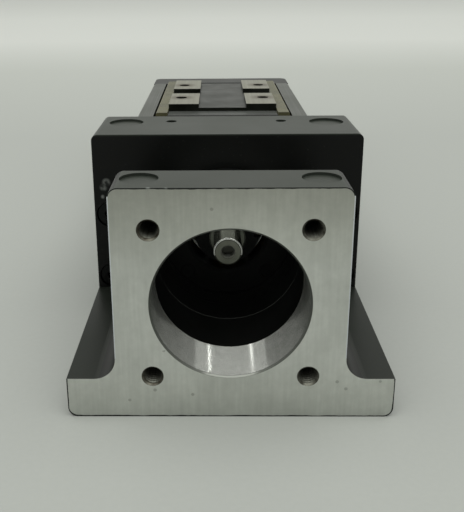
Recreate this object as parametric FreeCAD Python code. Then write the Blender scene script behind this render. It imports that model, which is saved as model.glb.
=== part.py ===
import FreeCAD, Part
import math
import os

# Linear guide actuator: a steel U-rail with an inner block driven by a ball screw,
# a motor housing with its coupling space at the front and a bearing housing at the end.
# X is the width, Y runs along the screw from the motor face to the end housing, Z is up.
# Stations along the screw are counted from the motor face and shifted so that the
# origin lies under the middle of the length, on the surface that the base rests on.

Vec = FreeCAD.Vector
ALONG = Vec(0, 1, 0)
UP = Vec(0, 0, 1)

# Main sizes
width = 60.0
axis_height = 22.6
housing_length = 60.4
rail_length = 150.0
end_length = 15.6

# Motor housing
foot_height = 7.9
foot_corner = 1.8
flange_width = 41.8
flange_rise = 21.7
flange_thickness = 10.9
flange_corner = 1.8
foot_fillet = 4.0
pilot_radius = 14.15
pilot_chamfer = 0.3
motor_pitch_circle = 40.0
motor_thread_radius = 1.65
motor_thread_depth = 9.0
motor_hole_chamfer = 0.35
neck_rise = 11.4
tunnel_radius = 15.2
tunnel_rear_radius = 16.25
tunnel_rear_length = 9.5
block_thickness = 20.4
block_rise = 21.9
block_corner = 1.4
dimple_depth = 0.5
flange_dimple_radius = 3.5
flange_dimple_pitch = 32.0
flange_dimple_station = 6.0
block_dimple_radius = 4.0
block_dimple_inset = 6.4
block_dimple_setback = 7.1
cover_hole_radius = 1.25
cover_hole_pitch = 26.0
cover_hole_setback = 6.0
cover_hole_depth = 5.0

# Rail
rail_rise = 7.1
rail_wall = 5.5
rail_floor = 8.0
rail_inner_fillet = 2.5
rail_edge_chamfer = 0.5
base_relief_width = 22.0
base_relief_depth = 0.6
raceway_drop = 7.2
raceway_pitch = 5.0
raceway_radius = 1.65
guide_ball_radius = 1.59
guide_balls_per_row = 5
guide_ball_pitch = 9.0
mount_pitch_across = 30.0
mount_pitch_along = 100.0
mount_hole_radius = 2.75
mount_head_radius = 4.75
mount_head_depth = 5.4

# Bolts that hold both housings to the rail
joint_bolt_radius = 1.5
joint_tap_radius = 1.52
joint_bolt_hole = 1.7
joint_head_radius = 2.75
joint_head_height = 3.0
joint_head_gap = 0.25
joint_head_sink = 0.5
joint_socket_radius = 1.4
joint_bolt_inset = 3.4
joint_bolt_low = 11.0
joint_bolt_drop = 3.7
joint_bolt_bite = 8.0

# Screw and its ends
screw_radius = 5.0
shaft_radius = 3.0
shaft_length = 7.7
shaft_chamfer = 0.3
centre_hole_radius = 1.25
centre_hole_depth = 2.4
centre_hole_tip = 0.75
journal_radius = 4.0
journal_reach = 3.0
end_shoulder_radius = 3.5
end_journal_radius = 2.5
end_journal_margin = 2.6
screw_end_gap = 0.6

# Bearings: a pair at the motor end, one at the far end
fixed_outer = 11.0
fixed_width = 7.0
fixed_count = 2
fixed_inner_shoulder = 5.9
fixed_outer_shoulder = 9.1
fixed_ball_radius = 1.95
fixed_balls = 7
end_outer = 5.5
end_bearing_width = 5.0
end_inner_shoulder = 3.5
end_outer_shoulder = 4.7
end_ball_radius = 0.9
end_balls = 7
end_cage_thickness = 0.6
seat_gap = 0.01
track_gap = 0.06
cage_thickness = 1.0
cage_margin = 0.4
cage_prong = 0.5
cage_prong_share = 0.85
cage_pocket_gap = 0.15

# Bearing cover, lock nut and shaft seal
cover_radius = 14.2
cover_pocket_gap = 0.1
cover_thickness = 4.0
cover_setback = 1.5
cover_spigot = 2.0
cover_bore = 8.6
cover_lip = 0.6
cover_screw_circle = 25.1
cover_screw_radius = 1.0
cover_screw_head = 1.45
cover_screw_head_height = 2.0
cover_screw_bite = 5.0
small_screw_gap = 0.1
thread_gap = 0.01
lock_nut_radius = 7.2
lock_nut_width = 4.8
lock_nut_slots = 4
lock_nut_slot_width = 2.4
lock_nut_slot_depth = 1.1
housing_shoulder = 9.0
housing_shoulder_length = 4.4
seal_width = 3.0
seal_inset = 0.5
seal_lip = 1.0
seal_lip_gap = 0.08
seal_case_gap = 0.8

# End housing
end_front_wall = 2.0
end_shaft_hole = 4.2
end_corner = 3.0
end_cap_radius = 6.2
end_cap_rim = 1.6
end_cap_dish = 0.4
end_cap_thickness = 2.0
circlip_thickness = 0.7
circlip_radius = 3.6
circlip_groove_depth = 0.3
circlip_play = 0.05
circlip_mouth = 2.0

# Inner block
block_length = 57.0
block_rest_setback = 40.6
block_drop = 11.6
block_side_gap = 0.6
block_shoulder_rise = 1.6
block_crown_rise = 9.0
block_bore_gap = 0.06
bottom_chamfer = 2.5
pad_rise = 10.4
pad_inner = 8.5
pad_length = 23.0
pad_hole_inset = 4.0
pad_hole_pitch_along = 30.0
pad_hole_radius = 2.1
pad_hole_depth = 9.0
return_hole_radius = 1.8
return_hole_inset = 7.4

# Block ends
end_plate_thickness = 8.0
end_plate_rise = 7.8
end_plate_gap = 0.5
end_plate_bore = 5.6
end_seal_thickness = 1.5
end_seal_gap = 0.15
end_seal_rise = 0.2
end_seal_bore_gap = 0.1
turn_depth = 4.0
turn_margin = 1.0
plate_screw_radius = 1.25
plate_screw_head = 2.1
plate_screw_head_height = 1.2
plate_screw_inset = 3.5
plate_screw_bite = 6.0
guide_width = 4.0
guide_rise = 8.8
guide_gap = 0.1
guide_rail_gap = 1.2
guide_round = 0.6
nipple_across = 12.0
nipple_rise = 4.4
nipple_radius = 1.9
nipple_tip_radius = 1.05
nipple_length = 4.4
nipple_tip_length = 1.4

# Stops
bumper_radius = 3.2
bumper_across = 28.0
bumper_rise = 6.6
front_bumper_length = 6.0
rear_bumper_length = 2.0

# Stations from the motor face, worked out from the sizes above
total_length = housing_length + rail_length + end_length
rail_front = housing_length
rail_rear = housing_length + rail_length
block_front = housing_length - block_thickness
bearing_rear = housing_length - housing_shoulder_length
bearing_front = bearing_rear - fixed_count * fixed_width
cover_rear = bearing_front - cover_spigot
cover_front = cover_rear - cover_thickness
tunnel_rear = cover_front - cover_setback
tunnel_step = tunnel_rear - tunnel_rear_length
journal_front = cover_front - journal_reach
shaft_front = journal_front - shaft_length
end_bearing_front = rail_rear + end_front_wall
end_bearing_rear = end_bearing_front + end_bearing_width
screw_end = end_bearing_rear + end_journal_margin
block_middle = rail_rear - block_rest_setback
block_start = block_middle - block_length / 2
block_end = block_middle + block_length / 2

# Widths, counted from the middle
half_width = width / 2
channel_half = half_width - rail_wall
block_half = channel_half - block_side_gap
ball_across = channel_half - block_side_gap / 2
joint_bolt_across = half_width - joint_bolt_inset
pad_outer = channel_half - guide_rail_gap - guide_width - guide_gap
pad_hole_across = pad_outer - pad_hole_inset
return_hole_across = block_half - return_hole_inset
plate_screw_across = return_hole_across - plate_screw_inset

# Heights above the base
flange_top = axis_height + flange_rise
neck_top = axis_height + neck_rise
block_top = axis_height + block_rise
rail_height = axis_height + rail_rise
joint_bolt_high = rail_height - joint_bolt_drop
raceway_low = axis_height - raceway_drop
raceway_heights = (raceway_low, raceway_low + raceway_pitch)
plate_screw_height = raceway_low + raceway_pitch / 2
block_bottom = axis_height - block_drop
block_shoulder = axis_height + block_shoulder_rise
block_crown = axis_height + block_crown_rise
pad_top = axis_height + pad_rise
end_plate_top = axis_height + end_plate_rise
guide_top = axis_height + guide_rise
nipple_height = axis_height + nipple_rise
bumper_height = rail_floor + bumper_rise

# Bearing sizes that several pieces share
fixed_circle = (fixed_inner_shoulder + fixed_outer_shoulder) / 2
fixed_fronts = [bearing_front + i * fixed_width for i in range(fixed_count)]
end_circle = (end_inner_shoulder + end_outer_shoulder) / 2


def y_at(station):
    """Turns a station behind the motor face into the Y of the part's frame."""
    return station - total_length / 2


def box(x_low, x_high, front, rear, z_low, z_high):
    """A block between two widths, two stations and two heights."""
    corner = Vec(x_low, y_at(front), z_low)
    return Part.makeBox(x_high - x_low, rear - front, z_high - z_low, corner)


def rod(radius, front, rear, x=0.0, z=axis_height):
    """A round bar along the screw's direction."""
    return Part.makeCylinder(radius, rear - front, Vec(x, y_at(front), z), ALONG)


def ring(outer, inner, front, rear, x=0.0, z=axis_height):
    """A round tube along the screw's direction."""
    return rod(outer, front, rear, x, z).cut(rod(inner, front, rear, x, z))


def cone(front_radius, rear_radius, front, rear, x=0.0, z=axis_height):
    """A taper along the screw's direction."""
    base = Vec(x, y_at(front), z)
    return Part.makeCone(front_radius, rear_radius, rear - front, base, ALONG)


def pin_up(radius, x, station, z_low, z_high):
    """A round bar that stands upright."""
    return Part.makeCylinder(radius, z_high - z_low, Vec(x, y_at(station), z_low), UP)


def profile(points, front, rear):
    """A solid with one outline of (x, z) points along its whole length."""
    corners = [Vec(x, y_at(front), z) for x, z in points]
    face = Part.Face(Part.makePolygon(corners + [corners[0]]))
    return face.extrude(ALONG * (rear - front))


def joined(shapes):
    """One solid from pieces that touch or overlap."""
    whole = shapes[0].multiFuse(shapes[1:])
    return whole.removeSplitter()


def group(shapes):
    """Separate solids kept in one node."""
    return Part.makeCompound(shapes)


def edges_along(shape, x_values, z_values, limit=0.05):
    """The straight edges along the screw's direction that lie at the given places."""
    found = []
    for edge in shape.Edges:
        if len(edge.Vertexes) != 2:
            continue
        first, last = edge.Vertexes[0].Point, edge.Vertexes[1].Point
        straight = abs(first.x - last.x) < limit and abs(first.z - last.z) < limit
        at_x = any(abs(abs(first.x) - x) < limit for x in x_values)
        at_z = any(abs(first.z - z) < limit for z in z_values)
        if straight and at_x and at_z:
            found.append(edge)
    return found


def upright_edges(shape, x, y, limit=0.05):
    """The upright edges at the given width and Y."""
    found = []
    for edge in shape.Edges:
        if len(edge.Vertexes) != 2:
            continue
        first, last = edge.Vertexes[0].Point, edge.Vertexes[1].Point
        upright = abs(first.x - last.x) < limit and abs(first.y - last.y) < limit
        if upright and abs(abs(first.x) - x) < limit and abs(first.y - y) < limit:
            found.append(edge)
    return found


def joint_bolt_places():
    """Width and height of the four bolts at each end of the rail."""
    return [
        (side * joint_bolt_across, z)
        for side in (-1, 1)
        for z in (joint_bolt_low, joint_bolt_high)
    ]


def cap_screw(x, z, head_front, shank_rear):
    """A socket head screw that points along the screw's direction."""
    head_rear = head_front + joint_head_height
    head = rod(joint_head_radius, head_front, head_rear, x, z)
    shank = rod(joint_bolt_radius, head_rear, shank_rear, x, z)
    corners = [math.radians(60 * i) for i in range(6)]
    reach = joint_socket_radius
    outline = [(x + reach * math.cos(a), z + reach * math.sin(a)) for a in corners]
    socket = profile(outline, head_front, head_front + joint_head_height / 2)
    return joined([head, shank]).cut(socket)


def housing_section():
    """The foot and flange outline, with fillets where the column meets the foot."""
    half = flange_width / 2
    foot = box(-half_width, half_width, 0, block_front, 0, foot_height)
    foot = foot.makeFillet(foot_corner, edges_along(foot, [half_width], [0.0]))
    flange = box(-half, half, 0, flange_thickness, 0, flange_top)
    flange = flange.makeFillet(flange_corner, edges_along(flange, [half], [flange_top]))
    neck = box(-half, half, flange_thickness, block_front, 0, neck_top)
    fillets = []
    for side in (-1, 1):
        inner = side * half
        outer = side * (half + foot_fillet)
        low, high = min(inner, outer), max(inner, outer)
        web = box(low, high, 0, block_front, foot_height, foot_height + foot_fillet)
        round_cut = rod(foot_fillet, 0, block_front, outer, foot_height + foot_fillet)
        fillets.append(web.cut(round_cut))
    return joined([foot, flange, neck] + fillets)


def motor_housing():
    """Foot, flange, coupling neck and bearing block, machined from one piece."""
    block = box(-half_width, half_width, block_front, housing_length, 0, block_top)
    block = block.makeFillet(block_corner, edges_along(block, [half_width], [block_top]))
    block = block.makeFillet(foot_corner, edges_along(block, [half_width], [0.0]))
    body = joined([housing_section(), block])
    cuts = [
        rod(pilot_radius, 0, flange_thickness),
        cone(pilot_radius + pilot_chamfer, pilot_radius, 0, pilot_chamfer),
        rod(tunnel_radius, flange_thickness, tunnel_step),
        rod(tunnel_rear_radius, tunnel_step, tunnel_rear),
        rod(cover_radius + cover_pocket_gap, tunnel_rear, cover_rear),
        rod(fixed_outer, cover_rear, bearing_rear),
        rod(housing_shoulder, bearing_rear, housing_length),
    ]
    reach = motor_pitch_circle / 2 * math.sqrt(0.5)
    for side in (-1, 1):
        for z in (axis_height - reach, axis_height + reach):
            x = side * reach
            cuts.append(rod(motor_thread_radius, 0, motor_thread_depth, x, z))
            mouth = motor_thread_radius + motor_hole_chamfer
            cuts.append(cone(mouth, motor_thread_radius, 0, motor_hole_chamfer, x, z))
        x = side * flange_dimple_pitch / 2
        floor = flange_top - dimple_depth
        cuts.append(pin_up(flange_dimple_radius, x, flange_dimple_station, floor, flange_top))
        x = side * (half_width - block_dimple_inset)
        station = housing_length - block_dimple_setback
        floor = block_top - dimple_depth
        cuts.append(pin_up(block_dimple_radius, x, station, floor, block_top))
        x = side * cover_hole_pitch / 2
        station = housing_length - cover_hole_setback
        floor = block_top - cover_hole_depth
        cuts.append(pin_up(cover_hole_radius, x, station, floor, block_top))
    head_rear = block_front + joint_head_sink + joint_head_height
    for x, z in joint_bolt_places():
        cuts.append(rod(joint_head_radius + joint_head_gap, block_front, head_rear, x, z))
        cuts.append(rod(joint_bolt_hole, block_front, housing_length, x, z))
    for x, z in cover_screw_places():
        cuts.append(rod(cover_screw_radius, cover_rear, cover_rear + cover_screw_bite, x, z))
    return body.cut(group(cuts))


def cover_screw_places():
    """Width and height of the screws that hold the bearing cover."""
    reach = cover_screw_circle / 2 * math.sqrt(0.5)
    return [(i * reach, axis_height + k * reach) for i in (-1, 1) for k in (-1, 1)]


def bearing_cover():
    """Round cover that clamps the outer rings of the bearing pair."""
    disc = rod(cover_radius, cover_front, cover_rear)
    spigot = rod(fixed_outer - seat_gap, cover_rear, bearing_front)
    cover = joined([disc, spigot]).cut(rod(cover_bore, cover_front, bearing_front))
    cuts = [cone(cover_bore + cover_lip, cover_bore, cover_front, cover_front + cover_lip)]
    seat = cover_front + cover_screw_head_height
    for x, z in cover_screw_places():
        cuts.append(rod(cover_screw_head + small_screw_gap, cover_front, seat, x, z))
        cuts.append(rod(cover_screw_radius + small_screw_gap, cover_front, cover_rear, x, z))
    return cover.cut(group(cuts))


def cover_screws():
    """Four small socket head screws of the bearing cover."""
    screws = []
    seat = cover_front + cover_screw_head_height
    for x, z in cover_screw_places():
        head = rod(cover_screw_head, cover_front, seat, x, z)
        shank = rod(cover_screw_radius - thread_gap, seat, cover_rear + cover_screw_bite, x, z)
        screws.append(joined([head, shank]))
    return group(screws)


def rail():
    """U-shaped rail with two raceways in each wall and counterbored fixing holes."""
    outer = box(-half_width, half_width, rail_front, rail_rear, 0, rail_height)
    corners = edges_along(outer, [half_width], [rail_height, 0.0])
    outer = outer.makeChamfer(rail_edge_chamfer, corners)
    channel = box(-channel_half, channel_half, rail_front, rail_rear, rail_floor, rail_height)
    corners = edges_along(channel, [channel_half], [rail_floor])
    channel = channel.makeFillet(rail_inner_fillet, corners)
    relief_half = base_relief_width / 2
    relief = box(-relief_half, relief_half, rail_front, rail_rear, 0, base_relief_depth)
    cuts = [channel, relief]
    for side in (-1, 1):
        for z in raceway_heights:
            cuts.append(rod(raceway_radius, rail_front, rail_rear, side * ball_across, z))
        for x, z in joint_bolt_places():
            if x * side > 0:
                cuts.append(rod(joint_tap_radius, rail_front, rail_front + joint_bolt_bite, x, z))
                cuts.append(rod(joint_tap_radius, rail_rear - joint_bolt_bite, rail_rear, x, z))
        for station in mount_stations():
            x = side * mount_pitch_across / 2
            cuts.append(pin_up(mount_hole_radius, x, station, 0, rail_floor))
            seat = rail_floor - mount_head_depth
            cuts.append(pin_up(mount_head_radius, x, station, seat, rail_floor))
    return outer.cut(group(cuts))


def mount_stations():
    """Stations of the fixing holes, centred on the rail."""
    middle = (rail_front + rail_rear) / 2
    return [middle - mount_pitch_along / 2, middle + mount_pitch_along / 2]


def end_housing():
    """Far bearing housing with rounded outer corners."""
    body = box(-half_width, half_width, rail_rear, total_length, 0, rail_height)
    body = body.makeFillet(end_corner, upright_edges(body, half_width, y_at(total_length)))
    cuts = [
        rod(end_shaft_hole, rail_rear, end_bearing_front),
        rod(end_outer, end_bearing_front, total_length - end_cap_thickness),
        rod(end_cap_radius, total_length - end_cap_thickness, total_length),
    ]
    seat = total_length - joint_head_sink - joint_head_height
    for x, z in joint_bolt_places():
        cuts.append(rod(joint_bolt_hole, rail_rear, total_length, x, z))
        cuts.append(rod(joint_head_radius + joint_head_gap, seat, total_length, x, z))
    return body.cut(group(cuts))


def housing_bolts():
    """Bolts from the front of the bearing block into the rail."""
    head = block_front + joint_head_sink
    rear = rail_front + joint_bolt_bite
    return group([cap_screw(x, z, head, rear) for x, z in joint_bolt_places()])


def end_housing_bolts():
    """Bolts from the rear face of the end housing into the rail."""
    bolts = []
    middle = Vec(0, y_at(total_length), 0)
    head = total_length + joint_head_sink
    rear = total_length + end_length + joint_bolt_bite
    for x, z in joint_bolt_places():
        bolt = cap_screw(x, z, head, rear)
        bolts.append(bolt.mirror(middle, ALONG))
    return group(bolts)


def ball_screw():
    """Screw shaft with its motor end, bearing journals and turned steps."""
    screw_rear = rail_rear - screw_end_gap
    parts = [
        cone(shaft_radius - shaft_chamfer, shaft_radius, shaft_front, shaft_front + shaft_chamfer),
        rod(shaft_radius, shaft_front + shaft_chamfer, journal_front),
        rod(journal_radius, journal_front, bearing_rear),
        rod(screw_radius, bearing_rear, screw_rear),
        rod(end_shoulder_radius, screw_rear, end_bearing_front),
        rod(end_journal_radius, end_bearing_front, screw_end),
    ]
    drill_rear = shaft_front + centre_hole_depth
    drill = rod(centre_hole_radius, shaft_front, drill_rear)
    tip = cone(centre_hole_radius, 0.0, drill_rear, drill_rear + centre_hole_tip)
    groove_front = end_bearing_rear + circlip_play
    groove_rear = groove_front + circlip_thickness + 2 * circlip_play
    groove_floor = end_journal_radius - circlip_groove_depth
    groove = ring(screw_radius, groove_floor, groove_front, groove_rear)
    return joined(parts).cut(group([drill, tip, groove]))


def bearing_ring(outer, inner, front, length, ball_radius, inner_shoulder, outer_shoulder):
    """A bearing ring with a square-cut track that clears the balls."""
    body = ring(outer, inner, front, front + length)
    circle = (inner_shoulder + outer_shoulder) / 2
    shoulder = (outer_shoulder - inner_shoulder) / 2 - track_gap
    half = math.sqrt(ball_radius ** 2 - shoulder ** 2)
    reach = ball_radius + track_gap
    middle = front + length / 2
    return body.cut(ring(circle + reach, circle - reach, middle - half, middle + half))


def ball(radius, centre):
    """A ball with flat facets: a cube cut by three copies turned by 45 degrees."""
    low = Vec(-radius, -radius, -radius)
    cube = Part.makeBox(2 * radius, 2 * radius, 2 * radius, low)
    shape = cube.copy()
    for axis in (Vec(1, 0, 0), Vec(0, 1, 0), Vec(0, 0, 1)):
        turned = cube.copy()
        turned.rotate(Vec(0, 0, 0), axis, 45)
        shape = shape.common(turned)
    reach = max(v.Point.Length for v in shape.Vertexes)
    shape.scale(radius / reach, Vec(0, 0, 0))
    shape.translate(centre)
    return shape


def ball_circle(count, radius, circle, station):
    """Balls spaced evenly round the screw."""
    balls = []
    for i in range(count):
        turn = 2 * math.pi * i / count
        x = circle * math.sin(turn)
        z = axis_height + circle * math.cos(turn)
        balls.append(ball(radius, Vec(x, y_at(station), z)))
    return balls


def ball_cage(count, ball_radius, circle, front, length, thickness):
    """Crown cage: a flat ring behind the balls with a prong between each pair."""
    station = front + length / 2
    back = station + ball_radius + cage_pocket_gap
    inner = circle - thickness / 2
    cage = [ring(circle + thickness / 2, inner, back, back + cage_margin)]
    half = cage_prong / 2
    for i in range(count):
        low = axis_height + inner + thickness * (1 - cage_prong_share)
        high = axis_height + inner + thickness * cage_prong_share
        prong = box(-half, half, station, back, low, high)
        turn = 360.0 * (i + 0.5) / count
        prong.rotate(Vec(0, 0, axis_height), ALONG, turn)
        cage.append(prong)
    return joined(cage)


def fixed_outer_rings():
    """Outer rings of the bearing pair at the motor end."""
    return group([
        bearing_ring(fixed_outer - seat_gap, fixed_outer_shoulder, front, fixed_width - seat_gap,
                     fixed_ball_radius, fixed_inner_shoulder, fixed_outer_shoulder)
        for front in fixed_fronts
    ])


def fixed_inner_rings():
    """Inner rings of the bearing pair at the motor end."""
    return group([
        bearing_ring(fixed_inner_shoulder, journal_radius + seat_gap, front, fixed_width - seat_gap,
                     fixed_ball_radius, fixed_inner_shoulder, fixed_outer_shoulder)
        for front in fixed_fronts
    ])


def fixed_balls_group():
    """Balls of the bearing pair."""
    balls = []
    for front in fixed_fronts:
        balls += ball_circle(fixed_balls, fixed_ball_radius, fixed_circle, front + fixed_width / 2)
    return group(balls)


def fixed_cages():
    """Cages of the bearing pair."""
    return group([
        ball_cage(fixed_balls, fixed_ball_radius, fixed_circle, front, fixed_width, cage_thickness)
        for front in fixed_fronts
    ])


def end_bearing_outer():
    """Outer ring of the far bearing."""
    return bearing_ring(end_outer - seat_gap, end_outer_shoulder, end_bearing_front, end_bearing_width,
                        end_ball_radius, end_inner_shoulder, end_outer_shoulder)


def end_bearing_inner():
    """Inner ring of the far bearing."""
    return bearing_ring(end_inner_shoulder, end_journal_radius + seat_gap, end_bearing_front,
                        end_bearing_width, end_ball_radius, end_inner_shoulder, end_outer_shoulder)


def end_bearing_balls():
    """Balls of the far bearing."""
    middle = end_bearing_front + end_bearing_width / 2
    return group(ball_circle(end_balls, end_ball_radius, end_circle, middle))


def end_bearing_cage():
    """Cage of the far bearing."""
    return ball_cage(end_balls, end_ball_radius, end_circle, end_bearing_front, end_bearing_width,
                     end_cage_thickness)


def lock_nut():
    """Slotted round nut that clamps the inner rings."""
    front = bearing_front - lock_nut_width
    nut = ring(lock_nut_radius, journal_radius + seat_gap, front, bearing_front)
    slots = []
    half = lock_nut_slot_width / 2
    top = axis_height + lock_nut_radius
    for i in range(lock_nut_slots):
        slot = box(-half, half, front, bearing_front, top - lock_nut_slot_depth, top)
        slot.rotate(Vec(0, 0, axis_height), ALONG, 360.0 * i / lock_nut_slots)
        slots.append(slot)
    return nut.cut(group(slots))


def shaft_seal():
    """Lip seal between the bearing block and the screw."""
    rear = housing_length - seal_inset
    inner = screw_radius + seal_case_gap
    case = ring(housing_shoulder - seat_gap, inner, rear - seal_width, rear)
    lip = ring(inner, screw_radius + seal_lip_gap, rear - seal_lip, rear)
    return joined([case, lip])


def end_cap():
    """Round cap that closes the far bearing seat."""
    cap = rod(end_cap_radius - seat_gap, total_length - end_cap_thickness, total_length)
    floor = total_length - end_cap_dish
    dish = rod(end_cap_radius - end_cap_rim, floor, total_length)
    return cap.cut(dish)


def end_circlip():
    """Snap ring on the far journal, open at the bottom."""
    front = end_bearing_rear + 2 * circlip_play
    rear = front + circlip_thickness
    clip = ring(circlip_radius, end_journal_radius - circlip_groove_depth + seat_gap, front, rear)
    half = circlip_mouth / 2
    mouth = box(-half, half, front, rear, axis_height - circlip_radius, axis_height)
    return clip.cut(mouth)


def block_core():
    """Section of the inner block below its pads."""
    neck = pad_outer
    low = block_half - bottom_chamfer
    points = [
        (-low, block_bottom), (low, block_bottom), (block_half, block_bottom + bottom_chamfer),
        (block_half, block_shoulder), (neck, block_shoulder), (neck, block_crown),
        (-neck, block_crown), (-neck, block_shoulder), (-block_half, block_shoulder),
        (-block_half, block_bottom + bottom_chamfer),
    ]
    return profile(points, block_start, block_end)


def pad_fronts():
    """Stations where the two rows of pads begin."""
    return [block_start, block_end - pad_length]


def pad_hole_places():
    """Width and station of the tapped holes in the pads."""
    return [
        (side * pad_hole_across, block_middle + step * pad_hole_pitch_along / 2)
        for side in (-1, 1)
        for step in (-1, 1)
    ]


def inner_block():
    """Steel block with the nut bore, ball tracks, return holes and ground pads."""
    parts = [block_core()]
    for side in (-1, 1):
        low, high = sorted((side * pad_inner, side * pad_outer))
        for front in pad_fronts():
            parts.append(box(low, high, front, front + pad_length, block_crown, pad_top))
    cuts = [rod(screw_radius + block_bore_gap, block_start, block_end)]
    for side in (-1, 1):
        for z in raceway_heights:
            cuts.append(rod(raceway_radius, block_start, block_end, side * ball_across, z))
            x = side * return_hole_across
            cuts.append(rod(return_hole_radius, block_start, block_end, x, z))
    for x, station in pad_hole_places():
        cuts.append(pin_up(pad_hole_radius, x, station, pad_top - pad_hole_depth, pad_top))
    for x, z in plate_screw_places():
        cuts.append(rod(plate_screw_radius, block_start, block_start + plate_screw_bite, x, z))
        cuts.append(rod(plate_screw_radius, block_end - plate_screw_bite, block_end, x, z))
    return joined(parts).cut(group(cuts))


def plate_screw_places():
    """Width and height of the screws that hold the end plates."""
    return [(side * plate_screw_across, plate_screw_height) for side in (-1, 1)]


def end_section(gap, front, rear, top):
    """Section of the end plates and end seals inside the rail."""
    half = channel_half - gap
    neck = pad_outer
    low = half - bottom_chamfer
    points = [
        (-low, block_bottom), (low, block_bottom), (half, block_bottom + bottom_chamfer),
        (half, block_shoulder), (neck, block_shoulder), (neck, top),
        (-neck, top), (-neck, block_shoulder), (-half, block_shoulder),
        (-half, block_bottom + bottom_chamfer),
    ]
    return profile(points, front, rear)


def mirrored(shape):
    """The same piece at the other end of the block."""
    return shape.mirror(Vec(0, y_at(block_middle), 0), ALONG)


def front_end_plate():
    """Moulded end plate that turns the balls round."""
    front = block_start - end_plate_thickness
    plate = end_section(end_plate_gap, front, block_start, end_plate_top)
    cuts = [rod(end_plate_bore, front, block_start)]
    inner = return_hole_across - return_hole_radius
    outer = ball_across + turn_margin
    turn_front = block_start - turn_depth
    for side in (-1, 1):
        low, high = sorted((side * inner, side * outer))
        for z in raceway_heights:
            bottom, top = z - raceway_radius, z + raceway_radius
            cuts.append(box(low, high, turn_front, block_start, bottom, top))
    for x, z in plate_screw_places():
        cuts.append(rod(plate_screw_radius + small_screw_gap, front, block_start, x, z))
    return plate.cut(group(cuts))


def front_end_seal():
    """Rubber scraper that fills the channel in front of the end plate."""
    rear = block_start - end_plate_thickness
    front = rear - end_seal_thickness
    seal = end_section(end_seal_gap, front, rear, end_plate_top + end_seal_rise)
    cuts = [rod(screw_radius + end_seal_bore_gap, front, rear)]
    for x, z in plate_screw_places():
        cuts.append(rod(plate_screw_head + small_screw_gap, front, rear, x, z))
    return seal.cut(group(cuts))


def front_plate_screws():
    """Two button head screws through the seal and the end plate."""
    seat = block_start - end_plate_thickness
    head_front = seat - plate_screw_head_height
    screws = []
    for x, z in plate_screw_places():
        head = rod(plate_screw_head, head_front, seat, x, z)
        shank_rear = block_start + plate_screw_bite
        shank = rod(plate_screw_radius - thread_gap, seat, shank_rear, x, z)
        screws.append(joined([head, shank]))
    return group(screws)


def return_guide(side):
    """Moulded strip beside the block's neck that carries the returning balls."""
    neck = pad_outer + guide_gap
    low, high = sorted((side * neck, side * (neck + guide_width)))
    front = block_start - end_plate_thickness
    rear = block_end + end_plate_thickness
    body = box(low, high, front, rear, block_shoulder + guide_gap, guide_top)
    return body.makeFillet(guide_round, edges_along(body, [neck + guide_width], [guide_top]))


def guide_balls(side):
    """Balls between the block's and the rail's tracks on one side."""
    balls = []
    for z in raceway_heights:
        for i in range(guide_balls_per_row):
            offset = (i - (guide_balls_per_row - 1) / 2) * guide_ball_pitch
            centre = Vec(side * ball_across, y_at(block_middle + offset), z)
            balls.append(ball(guide_ball_radius, centre))
    return group(balls)


def grease_nipple():
    """Grease nipple on the front end plate."""
    seat = block_start - end_plate_thickness - end_seal_thickness
    front = seat - nipple_length
    neck = front + nipple_tip_length
    body = rod(nipple_radius, neck, seat, nipple_across, nipple_height)
    tip = cone(nipple_tip_radius, nipple_radius, front, neck, nipple_across, nipple_height)
    return joined([body, tip])


def bumpers(front, rear):
    """Two rubber stops side by side."""
    return group([
        rod(bumper_radius, front, rear, side * bumper_across / 2, bumper_height)
        for side in (-1, 1)
    ])


NODES = {
    "rail": rail,
    "motor_housing": motor_housing,
    "end_housing": end_housing,
    "housing_bolts": housing_bolts,
    "end_housing_bolts": end_housing_bolts,
    "bearing_cover": bearing_cover,
    "cover_screws": cover_screws,
    "fixed_bearing_outer_rings": fixed_outer_rings,
    "fixed_bearing_inner_rings": fixed_inner_rings,
    "fixed_bearing_balls": fixed_balls_group,
    "fixed_bearing_cages": fixed_cages,
    "end_bearing_outer_ring": end_bearing_outer,
    "end_bearing_inner_ring": end_bearing_inner,
    "end_bearing_balls": end_bearing_balls,
    "end_bearing_cage": end_bearing_cage,
    "lock_nut": lock_nut,
    "shaft_seal": shaft_seal,
    "end_cap": end_cap,
    "end_circlip": end_circlip,
    "ball_screw": ball_screw,
    "inner_block": inner_block,
    "front_end_plate": front_end_plate,
    "rear_end_plate": lambda: mirrored(front_end_plate()),
    "front_end_seal": front_end_seal,
    "rear_end_seal": lambda: mirrored(front_end_seal()),
    "front_plate_screws": front_plate_screws,
    "rear_plate_screws": lambda: mirrored(front_plate_screws()),
    "return_guide_left": lambda: return_guide(-1),
    "return_guide_right": lambda: return_guide(1),
    "guide_balls_left": lambda: guide_balls(-1),
    "guide_balls_right": lambda: guide_balls(1),
    "grease_nipple": grease_nipple,
    "front_bumpers": lambda: bumpers(rail_front, rail_front + front_bumper_length),
    "rear_bumpers": lambda: bumpers(rail_rear - rear_bumper_length, rail_rear),
}

os.makedirs("parts", exist_ok=True)
for name, make in NODES.items():
    make().exportStep("parts/" + name + ".step")
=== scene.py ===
import math

import bmesh
import bpy
from mathutils import Matrix, Vector


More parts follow.
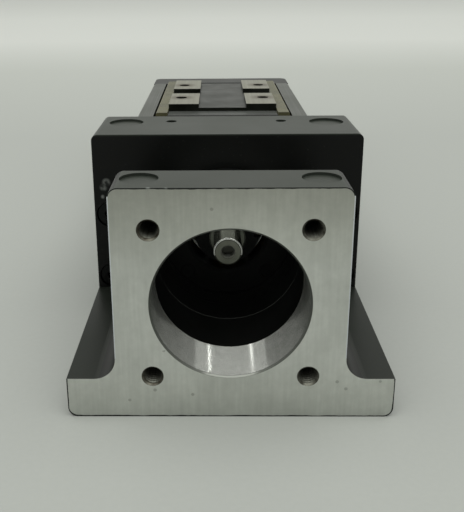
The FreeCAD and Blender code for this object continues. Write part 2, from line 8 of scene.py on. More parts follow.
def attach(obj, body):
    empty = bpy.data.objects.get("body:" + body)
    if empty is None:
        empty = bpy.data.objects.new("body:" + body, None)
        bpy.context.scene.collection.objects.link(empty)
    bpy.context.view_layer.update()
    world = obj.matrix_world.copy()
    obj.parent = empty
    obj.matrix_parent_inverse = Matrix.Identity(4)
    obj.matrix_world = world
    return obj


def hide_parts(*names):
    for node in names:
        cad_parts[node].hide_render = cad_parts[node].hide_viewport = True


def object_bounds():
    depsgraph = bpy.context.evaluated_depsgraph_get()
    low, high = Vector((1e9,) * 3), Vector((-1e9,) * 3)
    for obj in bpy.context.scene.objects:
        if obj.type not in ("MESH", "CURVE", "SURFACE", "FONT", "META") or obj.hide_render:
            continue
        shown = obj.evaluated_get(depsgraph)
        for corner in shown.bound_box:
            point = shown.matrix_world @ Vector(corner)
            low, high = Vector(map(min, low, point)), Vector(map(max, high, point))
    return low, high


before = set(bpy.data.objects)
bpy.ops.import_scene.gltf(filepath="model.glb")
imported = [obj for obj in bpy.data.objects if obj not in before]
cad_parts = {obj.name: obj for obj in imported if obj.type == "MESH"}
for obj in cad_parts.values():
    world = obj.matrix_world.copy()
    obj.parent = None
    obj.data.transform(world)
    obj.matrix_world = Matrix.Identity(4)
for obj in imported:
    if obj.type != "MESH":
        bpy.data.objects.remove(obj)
size_before = [list(corner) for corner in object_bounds()]


# The U-rail is bearing steel, ground all over. Its outer faces and the tops of its walls
# carry the fine straight lines of the grinding wheel, which run along the rail.

MM = 0.001
GRIT_DEPTH = 0.02 * MM
RAIL_LINES = 0.45


def linear(hex_text):
    """Linear colour of an sRGB hex value."""
    values = [int(hex_text[i:i + 2], 16) / 255 for i in (0, 2, 4)]
    return tuple(v / 12.92 if v <= 0.04045 else ((v + 0.055) / 1.055) ** 2.4
                 for v in values) + (1.0,)


def add(tree, kind, inputs=(), out=0, stops=(), **settings):
    """Adds a shader node with its settings and returns one output, or all of them for None.

    The inputs are a list for the first sockets or a dict by socket, of values or outputs,
    and the stops of a colour ramp are pairs of a position and a hex value. A Mix node has
    its factor at 0, two numbers at 2 and 3 or two colours at 6 and 7. A MapRange node has
    a value, the range that it comes in and the range that it is given.
    """
    made = tree.nodes.new("ShaderNode" + kind)
    for key, value in settings.items():
        setattr(made, key, value)
    for socket, value in inputs.items() if isinstance(inputs, dict) else enumerate(inputs):
        if isinstance(value, bpy.types.NodeSocket):
            tree.links.new(value, made.inputs[socket])
        else:
            made.inputs[socket].default_value = value
    for _ in stops[2:]:
        made.color_ramp.elements.new(0.5)
    for count, (position, colour) in enumerate(stops):
        made.color_ramp.elements[count].position = position
        made.color_ramp.elements[count].color = linear(colour)
    return made.outputs if out is None else made.outputs[out]


def streaked(tree, place, turns, detail=3.0):
    """Fractal noise stretched to a number of turns per metre along each axis."""
    stretched = add(tree, "Mapping", {"Vector": place, "Scale": turns})
    return add(tree, "TexNoise", {"Vector": stretched, "Scale": 1.0, "Detail": detail}, "Fac")


def painted(tree, colour, *layers):
    """A colour with others laid over it, each through its mask."""
    for mask, laid in layers:
        colour = add(tree, "Mix", {0: mask, 6: colour, 7: laid}, 2, data_type="RGBA")
    return colour


def new_finish(name, metallic, roughness, ior=1.5):
    """A new material with its shader and its Object coordinates."""
    made = bpy.data.materials.new(name)
    made.use_nodes = True
    tree = made.node_tree
    shader = tree.nodes["Principled BSDF"]
    shader.inputs["Metallic"].default_value = metallic
    shader.inputs["Roughness"].default_value = roughness
    shader.inputs["IOR"].default_value = ior
    place = add(tree, "TexCoord", out="Object")
    return made, tree, shader, place


def link(tree, shader, colour, roughness, normal):
    """Gives a shader its colour, roughness and normal."""
    tree.links.new(colour, shader.inputs["Base Color"])
    tree.links.new(roughness, shader.inputs["Roughness"])
    tree.links.new(normal, shader.inputs["Normal"])


def dress(node, material):
    """Gives a node of the frame its finish."""
    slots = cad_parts[node].data.materials
    slots.clear()
    slots.append(material)


def ground_steel(name, dark, light, line_mm, roughness):
    """Ground steel: straight wheel lines along Y that catch the light, and faint clouding."""
    made, tree, shader, place = new_finish(name, 1.0, roughness)
    per_metre = 1 / (line_mm * MM)
    lines = streaked(tree, place, (per_metre, 12.0, per_metre))
    clouds = add(tree, "TexNoise", {"Vector": place, "Scale": 55.0, "Detail": 4.0}, "Fac")
    both = add(tree, "Mix", {0: 0.45, 2: lines, 3: clouds})
    link(tree, shader, add(tree, "ValToRGB", [both], stops=((0.32, dark), (0.68, light))),
         add(tree, "MapRange", [both, 0.3, 0.7, roughness - 0.07, roughness + 0.09]),
         add(tree, "Bump", {"Height": lines, "Strength": 0.12, "Distance": GRIT_DEPTH}))
    return made


dress("rail", ground_steel("ground_rail_steel", "40433d", "565952", RAIL_LINES, 0.36))


# The motor housing is one aluminium piece, black anodised and then faced and bored again,
# so its motor face and the pilot bore are bare metal with the marks of the cutter.

face_y = size_before[0][1]
AXIS_Z = 22.6 * MM
PILOT_R = 14.15 * MM
PILOT_END = 10.9
MOUTH = 0.35
FLANGE_HALF = 20.9 * MM
FLANGE_TOP = 44.3 * MM
CORNER_R = 1.8 * MM
FOOT_HALF = 30.0 * MM
FOOT_TOP = 7.9 * MM
BOLT_REACH = 20.0 * MM * math.sqrt(0.5)
BOLT_HOLE_R = 2.02 * MM
BOLT_HOLE_END = 9.2
FLANGE_DIMPLE = (16.0 * MM, 6.0, 3.5 * MM)
BLOCK_DIMPLE = (23.6 * MM, 53.3, 4.0 * MM)
DIMPLE_FLOOR = FLANGE_TOP - 0.7 * MM
# Step edges in the tunnel, drawn as thin painted highlights
TUNNEL_GLINT_RINGS = ((15.2 * MM, 25.0), (14.3 * MM, 30.2))
TUNNEL_GLINT_HALF = 0.17 * MM
BORE_RINGS = 0.22 * MM
RUB_MARKS = (
    (-27.1, 40.0, 33.6, 1.1), (-27.8, 40.0, 32.4, 1.0), (-28.2, 40.0, 27.6, 0.9),
    (-28.0, 40.0, 30.2, 0.6), (-13.9, 0.1, 44.2, 0.5), (-10.9, 0.1, 44.2, 0.4),
)


def at(station):
    """Y of a station in millimetres behind the motor face."""
    return face_y + station * MM


def distance(tree, *pairs):
    """Distance from a centre, from two coordinates that each come with the centre's."""
    squares = []
    for value, centre in pairs:
        off = add(tree, "Math", [value, centre], operation="SUBTRACT")
        squares.append(add(tree, "Math", [off, off], operation="MULTIPLY"))
    return add(tree, "Math", [add(tree, "Math", squares, operation="ADD")], operation="SQRT")


def all_of(tree, *masks):
    """A mask that is one where each of the masks is one."""
    whole = masks[0]
    for mask in masks[1:]:
        whole = add(tree, "Math", [whole, mask], operation="MULTIPLY")
    return whole


def any_of(tree, *masks):
    """The strongest of several masks."""
    whole = masks[0]
    for mask in masks[1:]:
        whole = add(tree, "Math", [whole, mask], operation="MAXIMUM")
    return whole


def under(tree, *limits):
    """A mask that is one where each value lies under its limit."""
    return all_of(tree, *[add(tree, "Math", pair, operation="LESS_THAN") for pair in limits])


def over(tree, *limits):
    """A mask that is one where each value lies over its limit."""
    return all_of(tree, *[add(tree, "Math", pair, operation="GREATER_THAN") for pair in limits])


def soft_spot(tree, place, centre, radius):
    """A round patch that fades out at its radius."""
    away = add(tree, "VectorMath", [place, centre], "Value", operation="DISTANCE")
    return add(tree, "MapRange", [away, radius, radius * 0.4, 0.0, 1.0])


def rim_distance(tree, across, rise, half):
    """Distance from a point inside a round-cornered outline to its rim."""
    out_across = add(tree, "Math", [across, half - CORNER_R], operation="SUBTRACT")
    sharp = any_of(tree, out_across, rise)
    outer = distance(tree, (any_of(tree, out_across, 0.0), 0.0), (any_of(tree, rise, 0.0), 0.0))
    inner = add(tree, "Math", [sharp, 0.0], operation="MINIMUM")
    reached = add(tree, "Math", [outer, inner], operation="ADD")
    return add(tree, "Math", [CORNER_R, reached], operation="SUBTRACT")


def turned_rings(tree, place, pitch):
    """The zigzag of turned rings along the screw's axis."""
    return add(tree, "TexWave", {"Vector": place, "Scale": math.pi / 10 / pitch}, "Fac",
               wave_type="BANDS", bands_direction="Y", wave_profile="TRI")


def housing_finish():
    """Black anodising: a satin near-black skin, with the face and the bore machined bright."""
    made, tree, shader, place = new_finish("black_anodised_aluminium", 0.0, 0.42, 1.42)
    shader.inputs["Specular Tint"].default_value = (0.45, 0.45, 0.45, 1.0)
    split = add(tree, "SeparateXYZ", [place], None)
    x, y, z = split["X"], split["Y"], split["Z"]
    across = add(tree, "Math", [x], operation="ABSOLUTE")
    up = add(tree, "Math", [z, AXIS_Z], operation="SUBTRACT")
    off_axis = add(tree, "Math", [up], operation="ABSOLUTE")
    depth = add(tree, "Math", [y, face_y], operation="SUBTRACT")
    reach = distance(tree, (x, 0.0), (z, AXIS_Z))
    from_hole = distance(tree, (across, BOLT_REACH), (off_axis, BOLT_REACH))

    # Bare metal: the face, the bore with its mouth and the four screw holes
    face = under(tree, (y, at(0.02)))
    bore = under(tree, (reach, PILOT_R + 0.02 * MM), (y, at(PILOT_END + 0.005)))
    mouth = under(tree, (reach, PILOT_R + MOUTH * MM), (y, at(MOUTH)))
    hole = under(tree, (from_hole, BOLT_HOLE_R), (y, at(BOLT_HOLE_END)))
    bare = any_of(tree, face, bore, mouth, hole)

    # The rim of the face kept its black skin on top and at the foot, and its dark line along the
    # bottom is painted shadow where it meets the floor; its sides carry a thin painted highlight
    top_rise = add(tree, "Math", [z, FLANGE_TOP - CORNER_R], operation="SUBTRACT")
    foot_rise = add(tree, "Math", [CORNER_R, z], operation="SUBTRACT")
    flange_rim = rim_distance(tree, across, top_rise, FLANGE_HALF)
    foot_rim = rim_distance(tree, across, foot_rise, FOOT_HALF)
    ragged = add(tree, "TexNoise", {"Vector": place, "Scale": 420.0, "Detail": 2.0}, "Fac")
    wander = add(tree, "MapRange", [ragged, 0.3, 0.7, 0.17 * MM, 0.32 * MM])
    top_line = all_of(tree, under(tree, (flange_rim, wander)), over(tree, (top_rise, 0.3 * MM)))
    # Along the bottom edge this dark line is painted shadow where the face meets the floor
    foot_edge_and_painted_shadow = under(tree, (foot_rim, wander), (z, FOOT_TOP))
    black_rim_and_painted_shadow = all_of(tree, any_of(tree, top_line, foot_edge_and_painted_shadow), face)
    # Painted highlight: a thin pale line down both sides of the flange
    side_painted_highlight = all_of(tree, under(tree, (flange_rim, 0.16 * MM), (top_rise, 0.3 * MM)),
                      over(tree, (z, FOOT_TOP + 4.2 * MM)), face)

    # Machined metal: fine upright streaks, a soft mottle and a few pinpricks, with painted shade
    # that darkens it towards the top and a little at the bottom
    streaks = streaked(tree, place, (1400.0, 1.0, 90.0))
    mottle = add(tree, "TexNoise", {"Vector": place, "Scale": 620.0, "Detail": 4.0,
                                    "Roughness": 0.6}, "Fac")
    patches = add(tree, "TexNoise", {"Vector": place, "Scale": 85.0, "Detail": 3.0}, "Fac")
    fine = add(tree, "Mix", {0: 0.5, 2: streaks, 3: mottle})
    tone = add(tree, "Mix", {0: 0.45, 2: fine, 3: patches})
    metal = add(tree, "ValToRGB", [tone],
                stops=((0.34, "bfc1bc"), (0.5, "caccc7"), (0.66, "d7d9d4")))
    share_up = add(tree, "Math", [z, FLANGE_TOP], operation="DIVIDE")
    # Painted shade: the face is drawn darker near its top and a little near its bottom
    face_painted_shade = add(tree, "ValToRGB", [share_up],
                 stops=((0.0, "ecedec"), (0.11, "fafaf9"), (0.25, "ffffff"), (0.66, "ffffff"),
                        (0.84, "e6e6e3"), (1.0, "cbcac6")))
    metal = add(tree, "Mix", {0: 1.0, 6: metal, 7: face_painted_shade}, 2, data_type="RGBA",
                blend_type="MULTIPLY")
    cells = add(tree, "TexVoronoi", {"Vector": place, "Scale": 330.0}, "Distance")
    pricks = all_of(tree, under(tree, (cells, 0.11)), over(tree, (patches, 0.52)), face)
    metal = painted(tree, metal, (all_of(tree, pricks, 0.4), linear("6a6b66")))

    # The bore has painted shade up its sides, its mouth a painted highlight in the middle with
    # darker sides, and the holes are darker inside and stained in the left ones
    bore_tone = add(tree, "ValToRGB", [mottle], stops=((0.3, "a5a6a2"), (0.7, "b5b6b2")))
    # Painted shade: the bore is drawn darker up its sides
    bore_painted_side_shade = add(tree, "MapRange", [up, -11.5 * MM, -1.0 * MM, 0.0, 0.65])
    bore_tone = painted(tree, bore_tone, (bore_painted_side_shade, linear("4d4f4a")))
    share_across = add(tree, "Math", [across, PILOT_R], operation="DIVIDE")
    # Painted highlight: the mouth is drawn lighter in the middle and darker towards the sides
    mouth_painted_highlight = add(tree, "ValToRGB", [share_across],
                     stops=((0.30, "848681"), (0.38, "5d5f5b")))
    inside_hole = add(tree, "MapRange", [from_hole, 1.6 * MM, 2.0 * MM, 1.0, 0.0])
    stain = add(tree, "ValToRGB", [mottle], stops=((0.35, "2c251d"), (0.6, "5b574d")))
    in_hole = add(tree, "ValToRGB", [mottle], stops=((0.35, "3a3832"), (0.65, "74746c")))
    in_hole = painted(tree, in_hole, (all_of(tree, inside_hole, under(tree, (x, 0.0))), stain))
    metal = painted(tree, metal, (bore, bore_tone), (mouth, mouth_painted_highlight), (hole, in_hole),
                    (side_painted_highlight, linear("d9dde2")))

    # Anodising: near black with a faint cloud, a painted sheen that makes the tops greyer, and a
    # little dust
    cloud = add(tree, "TexNoise", {"Vector": place, "Scale": 60.0, "Detail": 5.0}, "Fac")
    dust = add(tree, "TexNoise", {"Vector": place, "Scale": 2100.0, "Detail": 2.0,
                                  "Roughness": 0.7}, "Fac")
    dusty = add(tree, "MapRange", [dust, 0.68, 0.78, 0.0, 0.35])
    # Painted sheen: the tops and the foot tops are drawn greyer than the rest of the skin
    skin, top_painted_sheen, foot_top_painted_sheen = [
        add(tree, "ValToRGB", [cloud], stops=((0.3, dark), (0.75, light)))
        for dark, light in (("040504", "0b0c0b"), ("272b26", "2f332d"), ("181b17", "1f231e"))]
    tops = [over(tree, (z, FLANGE_TOP - 0.1 * MM))]
    for dimple_x, dimple_at, dimple_r in FLANGE_DIMPLE, BLOCK_DIMPLE:
        away = distance(tree, (across, dimple_x), (depth, dimple_at * MM))
        tops.append(all_of(tree, under(tree, (away, dimple_r + 0.05 * MM)),
                           over(tree, (z, DIMPLE_FLOOR))))
    foot_off = add(tree, "Math", [z, FOOT_TOP], operation="SUBTRACT")
    from_foot_top = add(tree, "Math", [foot_off], operation="ABSOLUTE")
    foot_tops = all_of(tree, under(tree, (from_foot_top, 0.1 * MM)),
                       over(tree, (across, FLANGE_HALF)))
    black = painted(tree, skin, (any_of(tree, *tops), top_painted_sheen), (foot_tops, foot_top_painted_sheen),
                    (dusty, linear("4a4c48")))

    # Turned steps in the tunnel show as thin grey rings, painted highlights of light caught where
    # the cutter broke the edge
    for ring_r, ring_at in TUNNEL_GLINT_RINGS:
        from_edge = distance(tree, (reach, ring_r), (depth, ring_at * MM))
        black = painted(tree, black, (under(tree, (from_edge, TUNNEL_GLINT_HALF)),
                                      linear("4a4c49")))

    # Rub marks where the anodising is worn through beside the flange and on its top edge
    spots = [soft_spot(tree, place, (mark_x * MM, at(station), mark_z * MM), mark_r * MM)
             for mark_x, station, mark_z, mark_r in RUB_MARKS]
    scratch = streaked(tree, place, (1100.0, 1100.0, 800.0), 4.0)
    scratched = add(tree, "MapRange", [scratch, 0.38, 0.62, 0.05, 0.5])
    worn = all_of(tree, any_of(tree, *spots), scratched)
    colour = painted(tree, black, (bare, metal), (black_rim_and_painted_shadow, linear("1b1d1b")),
                     (worn, linear("8b8e8a")))
    not_rim = add(tree, "Math", [1.0, black_rim_and_painted_shadow], operation="SUBTRACT")
    bare = all_of(tree, bare, not_rim)
    tree.links.new(add(tree, "Mix", {0: bore, 2: bare, 3: 0.62}), shader.inputs["Metallic"])

    # Satin on the anodising, finer on the face and finest in the bore
    satin = add(tree, "MapRange", [cloud, 0.3, 0.7, 0.38, 0.46])
    faced = add(tree, "MapRange", [tone, 0.3, 0.7, 0.36, 0.46])
    bright = add(tree, "Mix", {0: bore, 2: faced, 3: 0.12})
    rough = add(tree, "Mix", {0: bare, 2: satin, 3: bright})

    # Relief: the bore's turned rings, the grain of the skin and the arcs of the face mill
    rings = all_of(tree, turned_rings(tree, place, BORE_RINGS), bore)
    turned = add(tree, "Bump", {"Height": rings, "Strength": 1.0, "Distance": BORE_RINGS / 2})
    arc_at = add(tree, "VectorMath", [place, (0.055, 0.0, -0.075)], operation="ADD")
    arcs = add(tree, "TexWave", {"Vector": arc_at, "Scale": 260.0, "Distortion": 1.2,
                                 "Detail": 2.0, "Detail Scale": 3.0}, "Fac",
               wave_type="RINGS", rings_direction="Y")
    milled = all_of(tree, add(tree, "Math", [arcs, streaks], operation="ADD"), face)
    grain = add(tree, "TexNoise", {"Vector": place, "Scale": 2600.0, "Detail": 2.0}, "Fac")
    off_bore = add(tree, "Math", [1.0, bore], operation="SUBTRACT")
    grain = all_of(tree, all_of(tree, grain, off_bore), 0.6)
    height = add(tree, "Math", [grain, all_of(tree, milled, 0.4)], operation="ADD")
    link(tree, shader, colour, rough,
         add(tree, "Bump", {"Height": height, "Strength": 0.35, "Distance": GRIT_DEPTH,
                            "Normal": turned}))
    return made


anodised = housing_finish()
for housing in ("motor_housing", "bearing_cover", "end_housing"):
    dress(housing, anodised)


# Tapped holes: four for the motor's screws in the face, two on top of the bearing block and
# one in each pad. The crests of each thread are a fine helix proud of the drilled wall.

THREAD_STEPS = 20
DRILL_LINES = 0.3
MOTOR_THREAD = (1.65 * MM, 0.7 * MM, 8.0 * MM)
COVER_THREAD = (1.25 * MM, 0.5 * MM, 4.2 * MM)
PAD_THREAD = (2.1 * MM, 0.8 * MM, 8.0 * MM)
COVER_HOLE_X = 13.0 * MM
COVER_HOLE_AT = 54.4
BLOCK_TOP = 44.5 * MM
PAD_HOLE_X = 15.2 * MM
PAD_HOLE_STEP = 15.0
PADS_AT = 169.8
PAD_TOP = 33.0 * MM


def new_piece(name, mesh_builder, body, material):
    """Makes an object from a bmesh, at the origin, and lets it ride on a body."""
    built = bmesh.new()
    mesh_builder(built)
    bmesh.ops.recalc_face_normals(built, faces=built.faces)
    data = bpy.data.meshes.new(name)
    built.to_mesh(data)
    built.free()
    piece = bpy.data.objects.new(name, data)
    bpy.context.collection.objects.link(piece)
    data.materials.append(material)
    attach(piece, body)
    return piece


def crest_helix(built, mouth, inward, drill_r, pitch, depth):
    """A three-sided ridge that winds into a hole from its mouth."""
    outward = Vector((1, 0, 0))
    crest = drill_r - 0.23 * pitch
    root = drill_r + 0.02 * MM
    start = mouth + inward * 0.7 * pitch
    corners = [built.verts.new(start + outward * radius + inward * along * pitch)
               for radius, along in ((root, -0.31), (crest, 0.0), (root, 0.31))]
    edges = [built.edges.new((corners[i], corners[(i + 1) % 3])) for i in range(3)]
    turns = int(depth / pitch)
    ends = bmesh.ops.spin(built, geom=corners + edges, cent=mouth, axis=inward,
                          dvec=inward * pitch / THREAD_STEPS, angle=2 * math.pi * turns,
                          steps=THREAD_STEPS * turns, use_duplicate=False)
    last = [v for v in ends["geom_last"] if isinstance(v, bmesh.types.BMVert)]
    built.faces.new(corners)
    built.faces.new(last)


def motor_threads(built):
    """Threads of the four holes round the bore."""
    for side in (-1, 1):
        for lift in (-1, 1):
            mouth = Vector((side * BOLT_REACH, at(0.1), AXIS_Z + lift * BOLT_REACH))
            crest_helix(built, mouth, Vector((0, 1, 0)), *MOTOR_THREAD)


def cover_threads(built):
    """Threads of the two small holes on top of the bearing block."""
    for side in (-1, 1):
        mouth = Vector((side * COVER_HOLE_X, at(COVER_HOLE_AT), BLOCK_TOP))
        crest_helix(built, mouth, Vector((0, 0, -1)), *COVER_THREAD)


def pad_threads(built):
    """Threads of the holes in the block's four pads."""
    for side in (-1, 1):
        for step in (-1, 1):
            mouth = Vector((side * PAD_HOLE_X, at(PADS_AT + step * PAD_HOLE_STEP), PAD_TOP))
            crest_helix(built, mouth, Vector((0, 0, -1)), *PAD_THREAD)


tapped = ground_steel("tapped_aluminium", "4a4943", "7b7c74", DRILL_LINES, 0.4)
tapped_black = ground_steel("tapped_black_aluminium", "1c1d1b", "343532", DRILL_LINES, 0.4)
tapped_steel = ground_steel("tapped_steel", "3a352c", "5d594e", DRILL_LINES, 0.4)
new_piece("motor_hole_threads", motor_threads, "base", tapped)
new_piece("cover_hole_threads", cover_threads, "base", tapped_black)
new_piece("pad_hole_threads", pad_threads, "block", tapped_steel)


# The ball screw is ground and hardened steel. Its round ball groove climbs 6 mm a turn, and
# both ends are turned down for the bearings and for the coupling.

SCREW_R = 5.0 * MM
LEAD = 6.0 * MM
LEAD_STEPS = 36
GROOVE_R = 1.25 * MM
GROOVE_HALF = 0.92 * GROOVE_R
GROOVE_STEPS = 8
EDGE_WIDTH = 0.12 * MM
EDGE_DROP = 0.05 * MM
TURNED_STEPS = 48
SHAFT_RINGS = 0.2 * MM
SHAFT_TIP = 25.3
CENTRE_HOLE_R = 1.45 * MM
CENTRE_HOLE_END = 28.6
RIM_R = 2.78 * MM
RIM_LENGTH = 0.5
THREAD_FROM = 62.0
THREAD_TO = 205.0
SHAFT_OUTLINE = (
    (28.4, 0.0), (27.7, 1.25), (25.55, 1.25), (SHAFT_TIP, 1.5), (SHAFT_TIP, 2.65), (25.65, 3.0),
    (33.0, 3.0), (33.0, 3.7), (33.3, 4.0), (56.0, 4.0), (56.0, 4.7), (56.3, 5.0),
    (THREAD_FROM, 5.0),
)
REAR_OUTLINE = (
    (THREAD_TO, 5.0), (209.5, 5.0), (209.8, 4.7), (209.8, 3.5), (212.4, 3.5), (212.4, 2.5),
    (217.45, 2.5), (217.45, 2.2), (218.25, 2.2), (218.25, 2.5), (219.8, 2.5), (220.0, 2.3),
    (220.0, 0.0),
)


def turn(built, outline):
    """Turns an outline of (station, radius) pairs round the screw's axis."""
    points = [built.verts.new((0, at(station), AXIS_Z + radius * MM)) for station, radius in outline]
    line = [built.edges.new(pair) for pair in zip(points, points[1:])]
    bmesh.ops.spin(built, geom=points + line, cent=(0, 0, AXIS_Z), axis=(0, 1, 0),
                   angle=2 * math.pi, steps=TURNED_STEPS, use_merge=True)


def groove_outline():
    """One lead of the thread's outline: a land and a round groove."""
    middle = LEAD / 2
    outline = [(0.0, SCREW_R), (middle - GROOVE_HALF - EDGE_WIDTH, SCREW_R)]
    for i in range(GROOVE_STEPS + 1):
        across = -GROOVE_HALF + 2 * GROOVE_HALF * i / GROOVE_STEPS
        depth = math.sqrt(GROOVE_R ** 2 - across ** 2) - math.sqrt(GROOVE_R ** 2 - GROOVE_HALF ** 2)
        outline.append((middle + across, SCREW_R - EDGE_DROP - depth))
    outline += [(middle + GROOVE_HALF + EDGE_WIDTH, SCREW_R), (LEAD, SCREW_R)]
    return outline


def screw_mesh(built):
    """Shaft end, journals and thread of the ball screw."""
    turns = int((THREAD_TO - THREAD_FROM) * MM / LEAD) + 3
    first = at(THREAD_FROM) - 1.5 * LEAD
    points = [built.verts.new((0, first + along, AXIS_Z + radius))
              for along, radius in groove_outline()]
    line = [built.edges.new(pair) for pair in zip(points, points[1:])]
    bmesh.ops.spin(built, geom=points + line, cent=(0, 0, AXIS_Z), axis=(0, 1, 0),
                   dvec=(0, -LEAD / LEAD_STEPS, 0), angle=-2 * math.pi * turns,
                   steps=LEAD_STEPS * turns)
    if max(v.co.y for v in built.verts) < at(THREAD_TO):
        bmesh.ops.translate(built, verts=built.verts, vec=(0, turns * LEAD, 0))
    bmesh.ops.remove_doubles(built, verts=built.verts, dist=0.002 * MM)
    for station, outward in ((THREAD_FROM, -1), (THREAD_TO, 1)):
        geometry = built.verts[:] + built.edges[:] + built.faces[:]
        bmesh.ops.bisect_plane(built, geom=geometry, dist=1e-7, plane_co=(0, at(station), 0),
                               plane_no=(0, outward, 0), clear_outer=True)
    turn(built, SHAFT_OUTLINE)
    turn(built, REAR_OUTLINE)
    bmesh.ops.remove_doubles(built, verts=built.verts, dist=0.001 * MM)


def screw_finish():
    """Ground round steel: rings that spread the light, a dull end face and a painted highlight on
    the upper rim.
    """
    made, tree, shader, place = new_finish("ground_screw_steel", 1.0, 0.2)
    split = add(tree, "SeparateXYZ", [place], None)
    x, y, z = split["X"], split["Y"], split["Z"]
    reach = distance(tree, (x, 0.0), (z, AXIS_Z))
    cloud = add(tree, "TexNoise", {"Vector": place, "Scale": 180.0, "Detail": 4.0}, "Fac")
    lines = streaked(tree, place, (60.0, 9000.0, 60.0), 2.0)
    both = add(tree, "Mix", {0: 0.5, 2: cloud, 3: lines})
    round_tone = add(tree, "ValToRGB", [both], stops=((0.35, "454741"), (0.65, "5f615a")))
    end_tone = add(tree, "ValToRGB", [cloud], stops=((0.3, "55564f"), (0.7, "6c6d65")))
    end_face = under(tree, (y, at(SHAFT_TIP + 0.03)))
    centre_hole = under(tree, (y, at(CENTRE_HOLE_END)), (reach, CENTRE_HOLE_R))
    # Painted highlight: the upper half of the end's rim is drawn near white
    rim = all_of(tree, under(tree, (y, at(SHAFT_TIP + RIM_LENGTH))),
                 over(tree, (reach, RIM_R), (z, AXIS_Z - 0.8 * MM)))
    tone = painted(tree, round_tone, (end_face, end_tone), (centre_hole, linear("6a6b62")),
                   (rim, linear("fbfbf8")))
    not_hole = add(tree, "Math", [1.0, centre_hole], operation="SUBTRACT")
    tree.links.new(not_hole, shader.inputs["Metallic"])
    link(tree, shader, tone, add(tree, "MapRange", [cloud, 0.3, 0.7, 0.12, 0.20]),
         add(tree, "Bump", {"Height": turned_rings(tree, place, SHAFT_RINGS), "Strength": 1.0,
                            "Distance": 0.62 * SHAFT_RINGS}))
    return made


screw = new_piece("screw_shaft", screw_mesh, "screw", screw_finish())
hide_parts("ball_screw")


# The inner block is hardened steel. Its four pads are ground to take the load, and the rest
# of it keeps a darker skin from the heat treatment.

PAD_LINES = 0.9 * MM
OIL_NEAR = 3.4 * MM
OIL_FAR = 6.2 * MM


def block_finish():
    """Dark steel with pale ground pads on top and oily stains round their holes."""
    made, tree, shader, place = new_finish("hardened_block_steel", 1.0, 0.4)
    split = add(tree, "SeparateXYZ", [place], None)
    x, y, z = split["X"], split["Y"], split["Z"]
    lines = streaked(tree, place, (1 / PAD_LINES, 25.0, 40.0))
    cloud = add(tree, "TexNoise", {"Vector": place, "Scale": 120.0, "Detail": 5.0}, "Fac")
    both = add(tree, "Mix", {0: 0.5, 2: lines, 3: cloud})
    ground = add(tree, "ValToRGB", [both], stops=((0.35, "8a887a"), (0.65, "a19f92")))
    skin = add(tree, "ValToRGB", [cloud], stops=((0.3, "242621"), (0.7, "30322d")))
    along = add(tree, "Math", [y, at(PADS_AT)], operation="SUBTRACT")
    from_middle = add(tree, "Math", [along], operation="ABSOLUTE")
    across = add(tree, "Math", [x], operation="ABSOLUTE")
    away = distance(tree, (across, PAD_HOLE_X), (from_middle, PAD_HOLE_STEP * MM))
    uneven = add(tree, "Math", [away, all_of(tree, cloud, 1.6 * MM)], operation="ADD")
    oily = add(tree, "MapRange", [uneven, OIL_NEAR, OIL_FAR, 0.8, 0.0])
    pads = painted(tree, ground, (oily, linear("5f5443")))
    tone = painted(tree, skin, (over(tree, (z, PAD_TOP - 0.05 * MM)), pads))
    link(tree, shader, tone, add(tree, "MapRange", [cloud, 0.3, 0.7, 0.34, 0.46]),
         add(tree, "Bump", {"Height": lines, "Strength": 0.12, "Distance": GRIT_DEPTH}))
    return made


dress("inner_block", block_finish())


# The end plates and the ball guides are moulded resin, the guides in an amber grade that the
# oil has darkened. The seals and stops are moulded nitrile rubber.

SPARK_GRAIN = 0.4 * MM
SPARK_DEPTH = 0.03 * MM


def moulded(name, dark, light, roughness, ior=1.5):
    """Moulded plastic or rubber: a slight cloud and a fine spark-eroded grain."""
    made, tree, shader, place = new_finish(name, 0.0, roughness, ior)
    cloud = add(tree, "TexNoise", {"Vector": place, "Scale": 140.0, "Detail": 4.0}, "Fac")
    grit = add(tree, "TexNoise", {"Vector": place, "Scale": 1 / SPARK_GRAIN, "Detail": 2.0},
               "Fac")
    link(tree, shader, add(tree, "ValToRGB", [cloud], stops=((0.3, dark), (0.7, light))),
         add(tree, "MapRange", [grit, 0.3, 0.7, roughness - 0.06, roughness + 0.08]),
         add(tree, "Bump", {"Height": grit, "Strength": 0.2, "Distance": SPARK_DEPTH}))
    return made


grey_resin = moulded("grey_polyacetal", "3a3c3a", "4a4c49", 0.45)
amber_resin = moulded("amber_polyacetal", "474532", "5d5a40", 0.42, 1.38)
rubber = moulded("nitrile_rubber", "0f100f", "1b1c1b", 0.6)
for plate in ("front_end_plate", "rear_end_plate"):
    dress(plate, grey_resin)
for guide in ("return_guide_left", "return_guide_right"):
    dress(guide, amber_resin)
for soft in ("front_end_seal", "rear_end_seal", "shaft_seal", "front_bumpers", "rear_bumpers"):
    dress(soft, rubber)
dress("end_cap", moulded("black_polyamide", "121312", "1e1f1e", 0.5))


# Bolts, nut and snap ring are black oxide steel, near black and dull. The bearings are
# polished steel, which mirrors the room, and their cages and the grease nipple warm brass.

black_oxide = ground_steel("black_oxide_steel", "191a1a", "2a2b2a", 0.5, 0.42)
polished = ground_steel("polished_bearing_steel", "a9aba8", "c2c4c1", 0.4, 0.16)
brass = ground_steel("turned_brass", "a58648", "c6a561", 0.4, 0.3)
for fixing in ("housing_bolts", "end_housing_bolts", "cover_screws", "front_plate_screws",
               "rear_plate_screws", "lock_nut", "end_circlip"):
    dress(fixing, black_oxide)
for bearing in ("fixed_bearing_outer_rings", "fixed_bearing_inner_rings", "fixed_bearing_balls",
                "end_bearing_outer_ring", "end_bearing_inner_ring", "end_bearing_balls",
                "guide_balls_left", "guide_balls_right"):
    dress(bearing, polished)
for part in ("fixed_bearing_cages", "end_bearing_cage", "grease_nipple"):
    dress(part, brass)


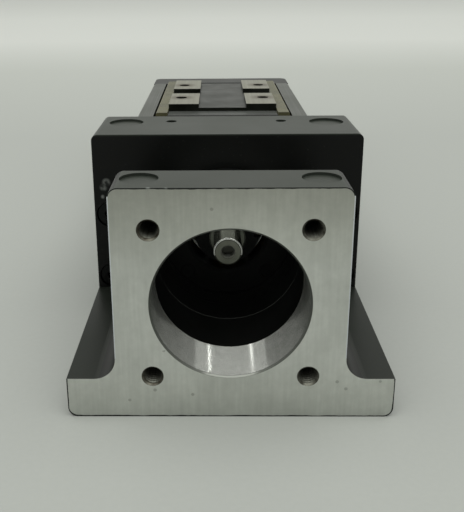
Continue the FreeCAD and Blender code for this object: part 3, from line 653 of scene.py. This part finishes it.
# The actuator stands on a plain pale floor under one broad soft lamp and two small ones in
# front, which draw the thin glints on turned metal, with the light of a bright room around it.

FLOOR_HALF = 3.0
# Floor tones from front to back: the darker front is painted shade
FLOOR_TONES_WITH_PAINTED_SHADE = ((0.0, "a8aaa6"), (0.2, "a9aba7"), (0.42, "b8bab5"), (0.65, "d6d7d3"),
               (1.0, "dfe0dc"))
FLOOR_NEAR = -0.1
FLOOR_FAR = 1.0
LAMP_COLOUR = "fdfffb"
SOFT_LAMP = ((0, -0.35, 1.3), (0, -0.1, 0.02), (2.0, 1.7), 16.0)
SMALL_LAMP_X = 0.53
SMALL_LAMP = ((0, -0.11, 0.01), (0.03, 0.03), 0.14)
ROOM_LIGHT = ("fbfef9", 0.62)
ROOM_SEEN = ("d8dad4", 1.0)


def pale_floor():
    """A large flat floor that grows paler towards the back; its darker front is painted shade."""
    built = bmesh.new()
    bmesh.ops.create_grid(built, x_segments=1, y_segments=1, size=FLOOR_HALF)
    data = bpy.data.meshes.new("floor")
    built.to_mesh(data)
    built.free()
    floor = bpy.data.objects.new("floor", data)
    bpy.context.collection.objects.link(floor)
    made, tree, shader, place = new_finish("pale_floor", 0.0, 0.7)
    depth = add(tree, "SeparateXYZ", [place], "Y")
    share_back = add(tree, "MapRange", [depth, FLOOR_NEAR, FLOOR_FAR, 0.0, 1.0])
    tone = add(tree, "ValToRGB", [share_back], stops=FLOOR_TONES_WITH_PAINTED_SHADE)
    speckle = add(tree, "TexNoise", {"Vector": place, "Scale": 900.0, "Detail": 3.0}, "Fac")
    speck = add(tree, "MapRange", [speckle, 0.3, 0.7, 0.0, 0.08])
    tone = painted(tree, tone, (speck, linear("8e908c")))
    tree.links.new(tone, shader.inputs["Base Color"])
    data.materials.append(made)


def area_lamp(name, place, aim, size, power):
    """A rectangular lamp aimed at a point."""
    data = bpy.data.lights.new(name, "AREA")
    data.shape = "RECTANGLE"
    data.size, data.size_y = size
    data.energy = power
    data.color = linear(LAMP_COLOUR)[:3]
    lamp = bpy.data.objects.new(name, data)
    bpy.context.collection.objects.link(lamp)
    lamp.location = place
    lamp.rotation_euler = (Vector(aim) - Vector(place)).to_track_quat("-Z", "Y").to_euler()


pale_floor()
area_lamp("soft_lamp", *SOFT_LAMP)
for side, name in ((-1, "left"), (1, "right")):
    area_lamp("small_lamp_" + name, (side * SMALL_LAMP_X, -0.83, 1.21), *SMALL_LAMP)

world = bpy.data.worlds.new("room")
bpy.context.scene.world = world
world.use_nodes = True
sky = world.node_tree
for old in list(sky.nodes):
    sky.nodes.remove(old)
ray = add(sky, "LightPath", out=None)
seen = any_of(sky, ray["Is Camera Ray"], ray["Is Glossy Ray"], ray["Is Transmission Ray"])
light, shown = [add(sky, "Background", {"Color": linear(tone), "Strength": strength})
                for tone, strength in (ROOM_LIGHT, ROOM_SEEN)]
add(sky, "OutputWorld", [add(sky, "MixShader", [seen, light, shown])], None)


# Camera at the photograph's place, solved by least squares so that the object's straight
# edges fall where the photograph has them.

EYE = Vector((-2.534 * MM, at(-115.91), 79.263 * MM))
PITCH = math.radians(17.833)
YAW = math.radians(-0.947)
ROLL = math.radians(0.497)

ahead = Vector((math.sin(YAW) * math.cos(PITCH), math.cos(YAW) * math.cos(PITCH), -math.sin(PITCH)))
level = Vector((math.cos(YAW), -math.sin(YAW), 0))
below = ahead.cross(level)
across = level * math.cos(ROLL) + below * math.sin(ROLL)
down = below * math.cos(ROLL) - level * math.sin(ROLL)
camera_data = bpy.data.cameras.new("camera")
camera_data.sensor_width = 36.0
camera_data.lens = 50.99
camera_data.shift_x = 0.0541
camera_data.shift_y = -0.1072
camera_data.clip_start = 0.005
camera = bpy.data.objects.new("camera", camera_data)
bpy.context.collection.objects.link(camera)
axes = Matrix((across, -down, -ahead)).transposed().to_4x4()
camera.matrix_world = Matrix.Translation(EYE) @ axes
bpy.context.scene.camera = camera
bpy.context.scene.view_settings.view_transform = "Standard"
